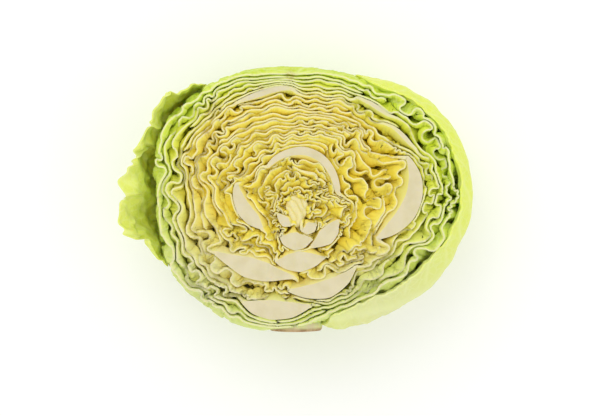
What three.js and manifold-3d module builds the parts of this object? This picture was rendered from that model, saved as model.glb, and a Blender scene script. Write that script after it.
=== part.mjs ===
// Half a cabbage head, cut lengthwise beside its stem and lying on its round back with the cut face up.
//
// Millimetres, +Z up. The head's stem end points to -Y, its leaf tips to +Y. Each leaf is one closed
// solid: a curved blade that wraps round the heart, thick and white along its midrib. The leaves lie
// inside one another like bowls, and the flat knife cut ends all of them in one plane.
//
// A place on a leaf is given by three numbers:
//   around  the angle round the heart, in degrees, anticlockwise from +X as the cut face is seen
//   drop    the angle down from the cut plane, 0 degrees at the knife cut and 90 at the back
//   level   0 on the skin of the head and 1 on the heart
import * as THREE from "three";
import { mergeVertices } from "three/addons/utils/BufferGeometryUtils.js";
import Module from "manifold-3d";

// The head.
const SKIN_RADII = [93, 92, 80, 76, 81.5, 87, 79, 80, 75, 70, 66, 78]; // skin from the heart, every 30 degrees
const HEAD_DEPTH = 98; // of the round back under the cut plane, before it flattens where it lies
const REST_DEPTH = 92; // from the cut plane to the flat that the head lies on
const BACK_SWELL = 0.26; // how far the skin swells out under the cut plane
const HEART = { radius: 8.5, depth: 15 };
const BUD_SHARE = 0.9; // of the heart's room that the bud fills, clear of the leaf round it

// The leaves.
const AROUND_STEP = 12; // degrees between the rows of a leaf that run down from the cut
const DROPS = [0, 12, 27, 45, 61, 74, 90]; // degrees down from the cut plane
const ABSENT_SHARE = 0.2; // room that a leaf takes in the cut where it doesn't reach
const EDGE_FADE = 14; // degrees over which that room closes
const BLADE_FILL = 0.5; // share of a leaf's room that its blade fills
const RIB_FILL = 0.82; // and that its midrib fills
const FLOOR_BLADE = 1.2; // thickness where the leaf is pressed flat
const FLOOR_GAP = 0.6; // between two leaves there
const CLEARANCE = 0.4; // between a leaf and the stem

// The stem stands in the head just under the cut face, and its sawn end closes the head's base.
// Its radius is stated at the base, at the neck and at the tip, and neckAt and tipAt are shares of its length.
const STEM = {
  end: -73.5, length: 58, under: 20.5, sides: 16,
  baseRadius: 16, neckRadius: 12, neckAt: 0.4, tipRadius: 4, tipAt: 0.9,
};

// Two loose leaves lie on the skin low down and stand away from it near the cut: flareAt and flareHalf
// are the angles round the heart where they stand off most, and over which they come back to the skin.
const LOOSE_LEAVES = [
  { name: "loose_leaf_left", from: 132, to: 216, flareAt: 178, flareHalf: 50, flare: 16, topDrop: 3, endDrop: 58 },
  { name: "loose_leaf_right", from: -72, to: 60, flareAt: -40, flareHalf: 50, flare: 11, topDrop: 4, endDrop: 58 },
];
const LOOSE_GAP = 1.8; // between a loose leaf and the skin, on top of its flare
const LOOSE_THICKNESS = 1.3;

const GREEN = 0x9fcb2e;
const PALE_GREEN = 0xcfdd7c;
const CREAM = 0xeee6a6;
const YELLOW = 0xecdc83;
const STEM_WHITE = 0xe9e4c6;

// Leaves from the skin inwards. Each reaches round the heart between two angles. rib is the angle that
// its midrib runs along, half the angle that the rib takes, and how many times a blade's room it needs.
const LEAVES = [
  { name: "wrapper_leaf_1", from: -90, to: 270, rib: [-36, 26, 1.2], colour: GREEN },
  { name: "wrapper_leaf_2", from: 48, to: 264, rib: [204, 20, 0.8], colour: GREEN },
  { name: "wrapper_leaf_3", from: -84, to: 144, rib: [12, 20, 0.8], colour: GREEN },
  { name: "wrapper_leaf_4", from: 60, to: 276, rib: [252, 20, 5], colour: GREEN },
  { name: "outer_leaf_1", from: -84, to: 156, rib: [60, 22, 1], colour: PALE_GREEN },
  { name: "outer_leaf_2", from: 36, to: 264, rib: [118, 22, 1.6], colour: PALE_GREEN },
  { name: "outer_leaf_3", from: -72, to: 120, rib: [40, 22, 1.4], colour: PALE_GREEN },
  { name: "outer_leaf_4", from: 60, to: 264, rib: [160, 18, 0.6], colour: PALE_GREEN },
  { name: "outer_leaf_5", from: -96, to: 132, rib: [-70, 24, 5], colour: PALE_GREEN },
  { name: "middle_leaf_1", from: 48, to: 276, rib: [236, 36, 5.5], colour: CREAM },
  { name: "middle_leaf_2", from: -84, to: 144, rib: [-4, 40, 4.5], colour: CREAM },
  { name: "middle_leaf_3", from: 36, to: 252, rib: [110, 16, 0.5], colour: CREAM },
  { name: "middle_leaf_4", from: -72, to: 156, rib: [70, 16, 0.5], colour: CREAM },
  { name: "middle_leaf_5", from: 24, to: 252, rib: [150, 16, 0.5], colour: CREAM },
  { name: "middle_leaf_6", from: -60, to: 132, rib: [30, 16, 0.5], colour: CREAM },
  { name: "middle_leaf_7", from: 120, to: 300, rib: [270, 34, 8], colour: CREAM },
  { name: "inner_leaf_1", from: 60, to: 264, rib: [200, 44, 4.5], colour: YELLOW },
  { name: "inner_leaf_2", from: -60, to: 156, rib: [78, 62, 1.8], colour: YELLOW },
  { name: "inner_leaf_3", from: -96, to: 96, rib: [-44, 30, 5], colour: YELLOW },
  { name: "inner_leaf_4", from: 36, to: 240, rib: [120, 30, 0.4], colour: YELLOW },
  { name: "inner_leaf_5", from: 132, to: 312, rib: [276, 36, 4], colour: YELLOW },
  { name: "heart_leaf_1", from: -48, to: 180, rib: [60, 40, 0.5], colour: YELLOW },
  { name: "heart_leaf_2", from: 84, to: 300, rib: [228, 40, 1.5], colour: YELLOW },
  { name: "heart_leaf_3", from: -84, to: 120, rib: [-50, 40, 1.5], colour: YELLOW },
];

const radians = THREE.MathUtils.degToRad;
const wasm = await Module();
wasm.setup();

// Distance from the heart to the skin, smooth between the stated radii.
function skinRadius(around) {
  const count = SKIN_RADII.length;
  const place = THREE.MathUtils.euclideanModulo(around, 360) / (360 / count);
  const first = Math.floor(place);
  const t = place - first;
  const at = (i) => SKIN_RADII[(i + count) % count];
  const [a, b, c, d] = [at(first - 1), at(first), at(first + 1), at(first + 2)];
  return b + 0.5 * t * (c - a + t * (2 * a - 5 * b + 4 * c - d + t * (3 * (b - c) + d - a)));
}

// Degrees from one angle to another the short way round.
function turn(from, to) {
  return THREE.MathUtils.euclideanModulo(to - from + 180, 360) - 180;
}

// 1 where the leaf reaches in the cut plane, falling to 0 past its two edges.
function presence(leaf, around) {
  const half = (leaf.to - leaf.from) / 2;
  const past = Math.abs(turn((leaf.to + leaf.from) / 2, around)) - half;
  return 1 - THREE.MathUtils.smoothstep(past, 0, EDGE_FADE);
}

// 1 along the midrib, falling to 0 at its sides and towards the back.
function ribShape(leaf, around, drop) {
  const [middle, half] = leaf.rib;
  const off = Math.min(1, Math.abs(turn(middle, around)) / half);
  return Math.cos((off * Math.PI) / 2) ** 2 * Math.cos(radians(drop)) ** 2;
}

// Room that a leaf takes between its neighbours.
function share(leaf, around, drop) {
  const flat = Math.cos(radians(drop)) ** 2;
  const blade = THREE.MathUtils.lerp(ABSENT_SHARE, 1, presence(leaf, around));
  return THREE.MathUtils.lerp(1, blade, flat) + leaf.rib[2] * ribShape(leaf, around, drop);
}

// Levels of a leaf's outer and inner faces.
function levels(index, around, drop) {
  const shares = LEAVES.map((leaf) => share(leaf, around, drop));
  const total = shares.reduce((sum, s) => sum + s, 0);
  const before = shares.slice(0, index).reduce((sum, s) => sum + s, 0);
  const fill = THREE.MathUtils.lerp(BLADE_FILL, RIB_FILL, ribShape(LEAVES[index], around, drop));
  return [before / total, (before + fill * shares[index]) / total];
}

// The point at a level, with the heart in the cut plane as the origin.
function place(level, around, drop, floor) {
  const down = radians(drop);
  const radius = THREE.MathUtils.lerp(skinRadius(around), HEART.radius, level);
  const depth = THREE.MathUtils.lerp(HEAD_DEPTH, HEART.depth, level);
  const swell = BACK_SWELL * (1 - level) ** 2 * Math.sin(down) * Math.cos(down);
  const out = radius * (Math.cos(down) + swell);
  const angle = radians(around);
  return new THREE.Vector3(
    out * Math.cos(angle),
    out * Math.sin(angle),
    Math.max(-depth * Math.sin(down), floor),
  );
}

// A closed blade between two faces. outer and inner give a point for a column and a row. With
// toPole, the last row is one point shared by all columns. With allRound, the last column lies on
// the first, and there are no side walls.
function bladeGeometry(columns, rows, outer, inner, { toPole = false, allRound = false }) {
  const points = [];
  const triangles = [];
  const add = (point) => points.push(point.x, point.y, point.z) / 3 - 1;
  const face = (make) =>
    Array.from({ length: rows }, (_, j) => {
      const single = toPole && j === rows - 1;
      const pole = single ? add(make(0, j)) : -1;
      return Array.from({ length: columns }, (_, i) => (single ? pole : add(make(i, j))));
    });
  const out = face(outer);
  const into = face(inner);
  const quad = (a, b, c, d) => {
    if (a !== b && b !== c && c !== a) triangles.push(a, b, c);
    if (a !== c && c !== d && d !== a) triangles.push(a, c, d);
  };
  for (let j = 0; j + 1 < rows; j++) {
    for (let i = 0; i + 1 < columns; i++) {
      quad(out[j + 1][i], out[j + 1][i + 1], out[j][i + 1], out[j][i]);
      quad(into[j][i], into[j][i + 1], into[j + 1][i + 1], into[j + 1][i]);
    }
    if (allRound) continue;
    const last = columns - 1;
    quad(out[j][0], into[j][0], into[j + 1][0], out[j + 1][0]);
    quad(out[j + 1][last], into[j + 1][last], into[j][last], out[j][last]);
  }
  for (let i = 0; i + 1 < columns; i++) {
    quad(out[0][i], out[0][i + 1], into[0][i + 1], into[0][i]);
    if (!toPole) {
      const end = rows - 1;
      quad(into[end][i], into[end][i + 1], out[end][i + 1], out[end][i]);
    }
  }
  return new THREE.BufferGeometry()
    .setAttribute("position", new THREE.Float32BufferAttribute(points, 3))
    .setIndex(triangles);
}

function leafGeometry(index) {
  const leaf = LEAVES[index];
  const columns = Math.round((leaf.to - leaf.from) / AROUND_STEP) + 1;
  const outerFloor = -REST_DEPTH + index * (FLOOR_BLADE + FLOOR_GAP);
  const side = (which, floor) => (i, j) => {
    const around = leaf.from + i * AROUND_STEP;
    return place(levels(index, around, DROPS[j])[which], around, DROPS[j], floor);
  };
  return bladeGeometry(
    columns,
    DROPS.length,
    side(0, outerFloor),
    side(1, outerFloor + FLOOR_BLADE),
    { toPole: true, allRound: leaf.to - leaf.from === 360 },
  );
}

function looseLeafGeometry(leaf) {
  const columns = Math.round((leaf.to - leaf.from) / AROUND_STEP) + 1;
  const rows = DROPS.length - 1;
  const side = (thickness) => (i, j) => {
    const around = leaf.from + i * AROUND_STEP;
    const drop = THREE.MathUtils.lerp(leaf.topDrop, leaf.endDrop, j / (rows - 1));
    const off = Math.min(1, Math.abs(turn(leaf.flareAt, around)) / leaf.flareHalf);
    const flare = leaf.flare * Math.cos((off * Math.PI) / 2) ** 2 * Math.cos(radians(drop)) ** 2;
    const skin = place(0, around, drop, -REST_DEPTH);
    const away = skin.clone().normalize();
    return skin.addScaledVector(away, LOOSE_GAP + flare + thickness);
  };
  return bladeGeometry(columns, rows, side(LOOSE_THICKNESS), side(0), {});
}

// A body of revolution about the stem's axis, its sawn end at -Y. grow widens it on every side.
function stemGeometry(grow) {
  const profile = [
    [0, -grow],
    [STEM.baseRadius + grow, -grow],
    [STEM.neckRadius + grow, STEM.length * STEM.neckAt],
    [STEM.tipRadius + grow, STEM.length * STEM.tipAt],
    [0, STEM.length + grow],
  ].map(([radius, along]) => new THREE.Vector2(radius, along));
  return new THREE.LatheGeometry(profile, STEM.sides).translate(0, STEM.end, -STEM.under);
}

// The innermost bud, a small egg cut flat by the knife.
function heartGeometry() {
  const columns = 360 / (2 * AROUND_STEP);
  const points = [new THREE.Vector3(0, 0, 0)];
  const triangles = [];
  for (const drop of DROPS.slice(0, -1)) {
    for (let i = 0; i < columns; i++) {
      const angle = radians(i * 2 * AROUND_STEP);
      const radius = HEART.radius * BUD_SHARE * Math.cos(radians(drop));
      const z = -HEART.depth * BUD_SHARE * Math.sin(radians(drop));
      points.push(new THREE.Vector3(radius * Math.cos(angle), radius * Math.sin(angle), z));
    }
  }
  points.push(new THREE.Vector3(0, 0, -HEART.depth * BUD_SHARE));
  const rings = DROPS.length - 1;
  const at = (ring, i) => 1 + ring * columns + (i % columns);
  for (let i = 0; i < columns; i++) {
    triangles.push(0, at(0, i), at(0, i + 1));
    triangles.push(points.length - 1, at(rings - 1, i + 1), at(rings - 1, i));
    for (let ring = 0; ring + 1 < rings; ring++) {
      triangles.push(at(ring, i), at(ring + 1, i), at(ring, i + 1));
      triangles.push(at(ring, i + 1), at(ring + 1, i), at(ring + 1, i + 1));
    }
  }
  return new THREE.BufferGeometry().setFromPoints(points).setIndex(triangles);
}

function toSolid(geometry) {
  const plain = geometry.clone();
  plain.deleteAttribute("normal");
  plain.deleteAttribute("uv");
  const merged = mergeVertices(plain);
  const vertProperties = merged.getAttribute("position").array;
  const triVerts = new Uint32Array(merged.index.array);
  return new wasm.Manifold(new wasm.Mesh({ numProp: 3, vertProperties, triVerts }));
}

function toGeometry(solid) {
  const mesh = solid.getMesh();
  return new THREE.BufferGeometry()
    .setAttribute("position", new THREE.BufferAttribute(mesh.vertProperties, 3))
    .setIndex(new THREE.BufferAttribute(mesh.triVerts, 1));
}

// The largest body that is left of a leaf once the stem's room is cut out of it.
function clearOfStem(geometry) {
  const pieces = toSolid(geometry).subtract(toSolid(stemGeometry(CLEARANCE))).decompose();
  return toGeometry(pieces.reduce((most, piece) => (piece.volume() > most.volume() ? piece : most)));
}

const halfCabbage = new THREE.Group();

function addPiece(name, geometry, color, roughness) {
  geometry.computeVertexNormals();
  const material = new THREE.MeshStandardMaterial({ color, roughness, metalness: 0 });
  const mesh = new THREE.Mesh(geometry, material);
  mesh.name = name;
  halfCabbage.add(mesh);
}

LEAVES.forEach((leaf, index) => addPiece(leaf.name, clearOfStem(leafGeometry(index)), leaf.colour, 0.5));
LOOSE_LEAVES.forEach((leaf) => addPiece(leaf.name, looseLeafGeometry(leaf), GREEN, 0.45));
addPiece("heart_bud", heartGeometry(), YELLOW, 0.55);
addPiece("stem", stemGeometry(0), STEM_WHITE, 0.6);

// The origin is under the middle of the whole object, on the surface that it lies on.
const size = new THREE.Box3().setFromObject(halfCabbage);
const middle = size.getCenter(new THREE.Vector3());
halfCabbage.position.set(-middle.x, -middle.y, -size.min.z);

export default halfCabbage;
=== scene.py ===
"""Half a cabbage head on its round back, its cut face up: crumpled leaves round a heart, and a stem.

Metres, +Z up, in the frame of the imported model. The leaves are worked out in millimetres round the
heart, as a nest: a place has an angle round the heart, a level from 0 on the skin to 1 on the heart,
and a drop, the angle down from the knife's cut. Each leaf's line in the cut is folded, the folds push
each other aside, and the section is then carried down into the head, slice by slice.
"""

import math

import bpy
import numpy as np
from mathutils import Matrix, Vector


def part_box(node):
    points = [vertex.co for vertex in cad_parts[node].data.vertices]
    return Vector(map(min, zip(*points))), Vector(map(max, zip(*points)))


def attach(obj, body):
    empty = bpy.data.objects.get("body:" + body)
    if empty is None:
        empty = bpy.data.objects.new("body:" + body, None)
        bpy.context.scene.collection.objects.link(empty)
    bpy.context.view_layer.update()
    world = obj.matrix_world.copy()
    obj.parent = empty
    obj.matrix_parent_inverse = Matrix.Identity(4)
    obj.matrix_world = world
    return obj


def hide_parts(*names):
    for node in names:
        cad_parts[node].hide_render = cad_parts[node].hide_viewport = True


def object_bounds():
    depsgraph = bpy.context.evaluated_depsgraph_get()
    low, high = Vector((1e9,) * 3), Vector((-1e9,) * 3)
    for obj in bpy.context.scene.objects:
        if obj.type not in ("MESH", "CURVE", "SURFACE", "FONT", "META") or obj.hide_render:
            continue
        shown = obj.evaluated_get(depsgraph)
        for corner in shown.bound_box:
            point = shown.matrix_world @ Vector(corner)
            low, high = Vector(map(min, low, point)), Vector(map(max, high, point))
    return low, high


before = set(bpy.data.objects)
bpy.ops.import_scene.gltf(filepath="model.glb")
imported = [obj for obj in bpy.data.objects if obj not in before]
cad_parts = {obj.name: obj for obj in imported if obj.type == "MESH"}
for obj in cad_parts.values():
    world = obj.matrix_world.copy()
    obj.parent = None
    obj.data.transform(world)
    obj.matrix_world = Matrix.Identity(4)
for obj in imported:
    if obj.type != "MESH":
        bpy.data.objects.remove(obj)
CAD_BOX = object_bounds()

bl_info = {
    "name": "Half Cabbage Head",
    "version": (1, 0, 0),
    "blender": (4, 5, 0),
    "location": "View3D > Sidebar > Cabbage",
    "description": "Builds the leaves, bud and stem of half a cabbage head, with a plain stage",
    "category": "Object",
}

MM = 0.001

# ---------------------------------------------------------------------------------------------
# The nest
# ---------------------------------------------------------------------------------------------

# Distances from the heart to the skin in the cut, every 30 degrees.
SKIN_RADII = np.array([93, 92, 80, 76, 81.5, 87, 79, 80, 75, 70, 66, 78])
HEAD_DEPTH = 98.0  # of the round back under the cut
REST_DEPTH = 92.0  # from the cut to the flat that the head lies on
HEART_RADIUS, HEART_DEPTH = 5.8, 15.0
SKIN_SWELL = 0.26  # how far the skin swells out under the cut
TIP_SWELL = 0.1  # and how much more beyond the tips of the leaves
INNER_LEAN = 0.5  # how far the inner leaves draw in under the cut
BLADE_HALF = 0.42  # half a blade's thickness near the skin
HEART_BLADE_HALF = 0.27  # and near the heart
MARGIN_HALF = 0.05  # and at its side margins
RIB_HALF = 0.75  # a sheet whose half thickness is over this is a midrib there
WALL = 1.2  # from the outer to the inner face of a sheet under the heart
NEST_LIFT = 43.2  # from the skin up to where the heart's sheets close, under the heart

# Sheets from the skin inwards: the leaf, and the angles that it reaches between. A leaf that stands here
# twice is folded over, so that two sheets of it are cut.
SHEETS = [
    ("wrapper_leaf_1", -90, 270),
    ("wrapper_leaf_2", 48, 286),
    ("wrapper_leaf_2", 58, 262),
    ("wrapper_leaf_3", -100, 144),
    ("wrapper_leaf_4", 60, 284),
    ("outer_leaf_1", -98, 156),
    ("outer_leaf_2", 36, 264),
    ("outer_leaf_3", -80, 120),
    ("outer_leaf_4", 60, 264),
    ("outer_leaf_4", 10, 196),
    ("outer_leaf_5", -104, 132),
    ("middle_leaf_1", 48, 276),
    ("middle_leaf_2", -84, 144),
    ("middle_leaf_3", 36, 252),
    ("middle_leaf_3", 50, 236),
    ("middle_leaf_4", -72, 156),
    ("middle_leaf_4", -56, 170),
    ("middle_leaf_5", 24, 252),
    ("middle_leaf_6", -60, 132),
    ("middle_leaf_6", -30, 160),
    ("middle_leaf_7", 120, 312),
    ("inner_leaf_1", 60, 264),
    ("inner_leaf_2", -60, 156),
    ("inner_leaf_3", -96, 96),
    ("inner_leaf_4", 36, 240),
    ("inner_leaf_5", 132, 312),
    ("heart_leaf_1", -48, 180),
    ("heart_leaf_1", -36, 200),
    ("heart_leaf_2", 84, 300),
    ("heart_leaf_3", -84, 150),
    ("heart_bud", -50, 220),
    ("heart_bud", -35, 205),
]
COUNT = len(SHEETS)

# Midribs in the cut, each on its leaf's first sheet: angles, distances from the heart and thicknesses.
RIBS = {
    "wrapper_leaf_4": [(241, 64, 1), (248, 63.5, 8), (257, 62, 11.5), (268, 60.5, 9), (279, 58.5, 1)],
    "outer_leaf_1": [(38, 74, 1), (50, 72, 2.6), (64, 70, 1)],
    "outer_leaf_2": [(86, 66, 1), (98, 66.5, 2.8), (110, 66, 3.4), (124, 67, 1)],
    "outer_leaf_3": [(20, 76, 1), (32, 72.5, 2.6), (44, 69.5, 1)],
    "outer_leaf_5": [(-96, 49.5, 1), (-84, 50.5, 7), (-70, 52, 10.5), (-57, 51, 7), (-46, 49.5, 1)],
    "middle_leaf_1": [
        (209, 55, 1),
        (220, 49.5, 6.5),
        (232, 45.5, 12),
        (246, 42.5, 11),
        (261, 41.5, 4.5),
        (271, 42, 1),
    ],
    "middle_leaf_2": [(-25, 49, 1), (-14, 57, 8), (-5, 63.5, 10.5), (4, 68, 9.5), (13, 70, 7), (25, 69, 1)],
    "middle_leaf_7": [(249, 35, 1), (262, 33.5, 9), (274, 33, 12), (287, 33.5, 8), (299, 35, 1)],
    "inner_leaf_1": [(160, 36.5, 1.5), (172, 33.5, 6), (186, 30, 8.5), (200, 26, 8), (217, 23.5, 1.5)],
    "inner_leaf_2": [
        (8, 24.5, 1),
        (20, 25, 3.5),
        (41, 27.5, 4.2),
        (62, 30, 4.6),
        (82, 30.8, 4.8),
        (117, 28, 3.2),
        (135, 25, 1),
    ],
    "inner_leaf_3": [(-73, 26, 1), (-62, 25.5, 5), (-48, 25.5, 10), (-34, 25.5, 8), (-20, 26, 1.5)],
    "inner_leaf_5": [(242, 20.5, 1), (256, 21, 8), (270, 21.5, 10.5), (284, 22, 7), (297, 22, 1)],
    "heart_leaf_1": [(35, 19, 0.8), (65, 20, 1.6), (95, 19.5, 0.8)],
    "heart_leaf_2": [(206, 12, 1), (224, 11.5, 4.5), (241, 12, 6), (258, 13, 1)],
    "heart_leaf_3": [(-79, 16, 1), (-68, 16, 6), (-55, 16, 6.5), (-42, 16.5, 1)],
}
RIB_STEP = 0.25  # degrees between the places where the nest is laid out
DENSE = 6000  # points of a leaf's line before its even ones are picked
RIB_ROUNDING = 31  # places over which a midrib's outline is rounded
NEST_ROUNDING = 17  # and a blade's course
NEST_ROUNDS = 120  # rounds in which the blades find their places between the midribs

# Pushing the folded lines apart.
CUT_ROUNDS, SLICE_ROUNDS = 200, 24  # rounds of pushing in the cut, and in each slice under it
SLACK = 1.08  # how much longer than its folds a line may stay
TOUCH, NEAR = 0.55, 2.0  # gaps between faces under which lines are pushed hard, and lightly
LONGEST_MOVE = 0.5  # of a point in one round

# The inner side of each sheet banks towards the next one.
FREE_REACH = 6.0  # how far it looks for the next sheet
FILLED = 10  # number of slices in which it looks
BANK = 1.05  # how much of the free room it takes
BANK_SLOPE = 1.5  # how soon it does under the cut

# The slices' drops, and those of the rows of the skin's outer face, whose veins need finer rows.
DROPS = np.array([0, 0.04, 0.8, 1.7, 2.8, 4, 5.4, 7, 9, 11.4, 14.4, 18, 22.5, 28, 35, 43, 52, 62, 73, 82, 90])
SKIN_DROPS = np.concatenate([DROPS[:5], np.linspace(4, 90, 70)])

# The skin's outside: its veins are drawn on a ball, and its midribs run at angles about the stem, counted
# from one side of the cut.
BALL_RADIUS = 85.0
SKIN_MIDRIBS = (14, 68, 152)
SIDE_VEIN_SPACING = 14.0
SKIN_VEIN_SHARE = 0.45  # of the veins' own colour

# Fine ruffles: middle and half widths of each patch, from the heart.
RUFFLES = [
    (-34, -19, 19, 10),
    (-10, -8, 6, 12),
    (34, -30, 11, 13),
    (57, 31, 9, 9),
    (27, -46, 6, 14),
    (-28, -50, 30, 6),
    (88, 1, 7, 12),
    (29, -8, 9, 11),
    (4, -62, 14, 6),
]


def turn(start, end):
    """Degrees from one angle to another the short way round."""
    return (np.asarray(end) - start + 180) % 360 - 180


def smooth(value, low, high):
    """0 below low, 1 above high, and smooth between."""
    share = np.clip((value - low) / (high - low), 0, 1)
    return share * share * (3 - 2 * share)


def mix(a, b, share):
    return a + (b - a) * share


def bell(around, middle, width):
    """1 at the middle angle, falling to nothing over its width in degrees."""
    return np.exp(-((turn(middle, around) / width) ** 2))


def skin_radius(around):
    """Distance from the heart to the skin in the cut, smooth between the stated radii."""
    count = len(SKIN_RADII)
    place = (np.asarray(around) % 360) / (360 / count)
    first = np.floor(place).astype(int)
    t = place - first
    a, b, c, d = (SKIN_RADII[(first + k) % count] for k in (-1, 0, 1, 2))
    return b + 0.5 * t * (c - a + t * (2 * a - 5 * b + 4 * c - d + t * (3 * (b - c) + d - a)))


# Seeded noise: each channel is a square of random numbers, and some facts have a channel for each sheet.
NOISE_SIDE = 64
NOISE = np.random.default_rng(17).uniform(-1, 1, (8 + 8 * COUNT, NOISE_SIDE, NOISE_SIDE))
COMMON_PHASE, WARP_X, WARP_Y = 0, 1, 2
OWN_FACTS = ("phase", "height", "bump", "dimple", "ruffle_phase", "ruffle", "recess")
OWN = {fact: 8 + place * COUNT for place, fact in enumerate(OWN_FACTS)}
LOOSE_LEFT_NOISE, LOOSE_RIGHT_NOISE = 240, 248
STEM_NOISE, SAW_NOISE, BUD_FOLDS, BUD_GRAIN = 250, 251, 252, 253
FIRST_EDGE, SECOND_EDGE, SIDE_VEINS, SKIN_DENTS = 254, 255, 256, 257


def noise(channel, u, v):
    """Smooth noise, about -1 to 1, that changes over one unit of u or v."""
    i = np.floor(u).astype(int)
    j = np.floor(v).astype(int)
    f = smooth(u - i, 0, 1)
    g = smooth(v - j, 0, 1)

    def knot(a, b):
        return NOISE[channel, (i + a) % NOISE_SIDE, (j + b) % NOISE_SIDE]

    near = mix(knot(0, 0), knot(1, 0), f)
    far = mix(knot(0, 1), knot(1, 1), f)
    return 1.4 * mix(near, far, g)


def averaged(values, window):
    """Values in a row, each averaged with its neighbours by the window's weights."""
    padded = np.pad(values, len(window) // 2, mode="edge")
    return np.convolve(padded, window / window.sum(), "valid")


def spread(rows, width):
    """Rows of values, each averaged with the rows beside it."""
    window = np.hanning(width + 2)[1:-1]
    return np.stack([averaged(column, window) for column in rows.T], 1)


def run_along(points):
    """Distance along a line of points, from its start to each of them."""
    return np.concatenate([[0], np.cumsum(np.hypot(*np.diff(points, axis=0).T))])


# ---------------------------------------------------------------------------------------------
# The section: each leaf's line in the cut
# ---------------------------------------------------------------------------------------------


def rib_run(k, around):
    """The thickness of a sheet's midrib at the angles, and its middle's distance from the heart."""
    leaf = SHEETS[k][0]
    folded_over = k > 0 and SHEETS[k - 1][0] == leaf
    if folded_over or leaf not in RIBS:
        return np.zeros(len(around)), np.zeros(len(around))
    angles, radii, thicknesses = np.transpose(RIBS[leaf])
    middle = (angles[0] + angles[-1]) / 2
    here = middle + turn(middle, around)
    reach = [angles[0] - 4, *angles, angles[-1] + 4]
    thickness = np.interp(here, reach, [0, *thicknesses, 0])
    radius = np.interp(here, angles, radii)
    window = np.hanning(RIB_ROUNDING)
    return averaged(thickness, window), averaged(radius, window)


def lay_out():
    """Radius of each sheet's middle line, half its thickness, how soft it is, its rib and its room."""
    around = np.arange(-110, 330, RIB_STEP)
    skin = skin_radius(around)
    radius, half, soft, rib, present = ([] for _ in range(5))
    for k, (_, start, end) in enumerate(SHEETS):
        level = (k + 0.5) / COUNT
        thickness, middle = rib_run(k, around)
        firm = smooth(thickness, 0.3, 2.2)
        radius.append(mix(mix(skin, HEART_RADIUS, level), middle, firm))
        half.append(np.maximum(mix(BLADE_HALF, HEART_BLADE_HALF, level), thickness / 2))
        soft.append(1 - firm)
        rib.append(smooth(thickness, 0.8, 3.0))
        present.append(np.abs(turn((start + end) / 2, around)) <= (end - start) / 2 + 0.01)
    radius, half, soft, rib = (np.array(rows) for rows in (radius, half, soft, rib))
    nest = radius.copy()

    def neighbours():
        outside, inside = np.empty_like(radius), np.empty_like(radius)
        face = skin.copy()
        for k in range(COUNT):
            outside[k] = face
            face = np.where(present[k], radius[k] - half[k], face)
        face = np.full(len(around), HEART_RADIUS)
        for k in reversed(range(COUNT)):
            inside[k] = face
            face = np.where(present[k], radius[k] + half[k], face)
        return outside, inside

    window = np.ones(NEST_ROUNDING)
    for _ in range(NEST_ROUNDS):  # soft stretches settle midway between their neighbours
        outside, inside = neighbours()
        wanted = mix(nest, (outside + inside) / 2, soft)
        wanted = np.array([averaged(row, window) for row in wanted])
        radius += (wanted - radius) * 0.7 * soft
    outside, inside = neighbours()
    return around, radius, half, soft, rib, outside - inside - 2 * half


def waviness(around, level):
    """Share of its free room that a leaf's waves take."""
    share = 0.62 + 0.5 * bell(around, 178, 42)
    share = share + 0.3 * bell(around, 5, 45)
    share = share + 0.45 * bell(around, -45, 26)
    return share + 0.5 * bell(around, 95, 45) * smooth(level, 0.06, 0.16)


def wavelength(around, level, room):
    """Length of a leaf's waves: long beyond the tips and where the head is loose, short at the heart."""
    length = 8.5 + 3.5 * bell(around, 92, 40) * (1 - smooth(level, 0.2, 0.6))
    length = length - 3.0 * smooth(level, 0.45, 0.85)
    length = length + 3.0 * bell(around, -45, 26)
    length = length + 2.5 * bell(around, 178, 30)
    return np.clip(length * (0.75 + 0.12 * room), 3.2, 16)


def ruffling(lines):
    """How finely ruffled the places of the nest are, from 0 to 1."""
    x, y = lines["place"].T
    patches = sum(np.exp(-(((x - a) / p) ** 2) - ((y - b) / q) ** 2) for a, b, p, q in RUFFLES)
    return np.clip(patches, 0, 1) * lines["soft"]


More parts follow.
